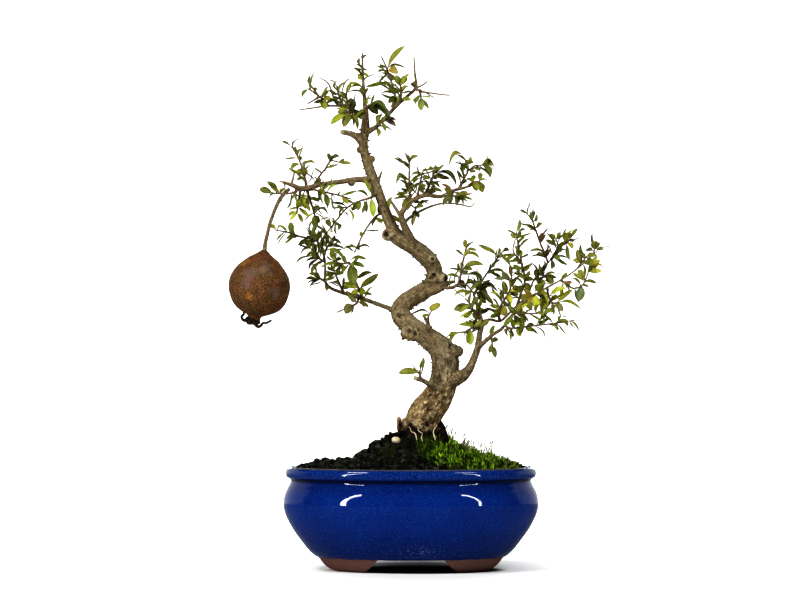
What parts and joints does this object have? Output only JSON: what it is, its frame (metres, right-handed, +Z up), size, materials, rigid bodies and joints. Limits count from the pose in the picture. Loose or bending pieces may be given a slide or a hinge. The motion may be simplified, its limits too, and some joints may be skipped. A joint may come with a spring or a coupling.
{
  "type": "pomegranate bonsai",
  "caption": "Dwarf pomegranate bonsai with an S-curved trunk, small leafy shoots and a dry hanging fruit, growing from mossy soil in a blue glazed oval pot on feet.",
  "frame": {"origin": "the middle of the whole object's bounding box in plan, on the plane the feet rest on; the pot's own vertical axis is 7.9 mm from it towards -X", "axes": "+Z up; +X along the pot's length, from the fruit towards the long lower right branch; +Y from the front, where the pale roots show, to the back"},
  "size_m": [0.3064, 0.156, 0.4186],
  "materials": {
    "cobalt_glaze": "gloss cobalt-blue glaze, feet in bare brown clay",
    "screen_mesh": "matt black mesh",
    "potting_soil": "dark crumbly potting soil",
    "moss": "bright green tufted moss",
    "dark_moss": "dark olive low moss",
    "bark": "rough grey-tan bark",
    "stalk": "brown twig bark",
    "pale_root": "pale dry root",
    "dark_root": "dark root bark",
    "dead_wood": "dark decayed wood",
    "pale_stone": "smooth cream pebble",
    "fruit_rind": "dry leathery rust-brown rind",
    "leafy_shoot": "thin olive-green leaves on fine twigs"
  },
  "bodies": {
    "root": {"arched_root": "dark_root", "crown_left_branch": "bark", "crown_left_low_shoot": "leafy_shoot", "crown_left_outer_shoot": "leafy_shoot", "crown_low_right_shoot": "leafy_shoot", "crown_middle_shoot": "leafy_shoot", "crown_right_branch": "bark", "crown_right_leaf_shoot": "leafy_shoot", "dead_stump": "dead_wood", "drain_screen_left": "screen_mesh", "drain_screen_right": "screen_mesh", "fruit": "fruit_rind", "fruit_branch": "bark", "fruit_branch_back_shoot": "leafy_shoot", "fruit_branch_hanging_shoot": "leafy_shoot", "fruit_branch_inner_shoot": "leafy_shoot", "fruit_branch_long_shoot": "leafy_shoot", "fruit_branch_upright_shoot": "leafy_shoot", "fruit_stalk": "stalk", "leader_shoot": "leafy_shoot", "low_moss_patch": "dark_moss", "lower_left_branch": "bark", "lower_left_inner_shoot": "leafy_shoot", "lower_left_middle_shoot": "leafy_shoot", "lower_left_outer_shoot": "leafy_shoot", "lower_left_top_shoot": "leafy_shoot", "lower_right_belly_shoot": "leafy_shoot", "lower_right_branch": "bark", "lower_right_crest_shoot": "leafy_shoot", "lower_right_front_shoot": "leafy_shoot", "lower_right_high_shoot": "leafy_shoot", "lower_right_inner_shoot": "leafy_shoot", "lower_right_long_shoot": "leafy_shoot", "lower_right_low_shoot": "leafy_shoot", "lower_right_middle_shoot": "leafy_shoot", "lower_right_olive_shoot": "leafy_shoot", "lower_right_outer_shoot": "leafy_shoot", "lower_right_rear_shoot": "leafy_shoot", "lower_right_tall_shoot": "leafy_shoot", "lower_right_top_shoot": "leafy_shoot", "middle_right_branch": "bark", "middle_right_inner_shoot": "leafy_shoot", "middle_right_outer_shoot": "leafy_shoot", "middle_right_top_shoot": "leafy_shoot", "middle_right_twig": "bark", "middle_right_under_shoot": "leafy_shoot", "moss_cushion": "moss", "pale_root_left": "pale_root", "pale_root_middle": "pale_root", "pale_root_right": "pale_root", "pale_stone": "pale_stone", "pot": "cobalt_glaze", "shoulder_shoot": "leafy_shoot", "soil": "potting_soil", "trunk": "bark", "trunk_bend_shoot": "leafy_shoot", "trunk_left_low_shoot": "leafy_shoot", "trunk_left_shoot": "leafy_shoot", "trunk_stub_shoot": "leafy_shoot"}
  },
  "joints": []
}
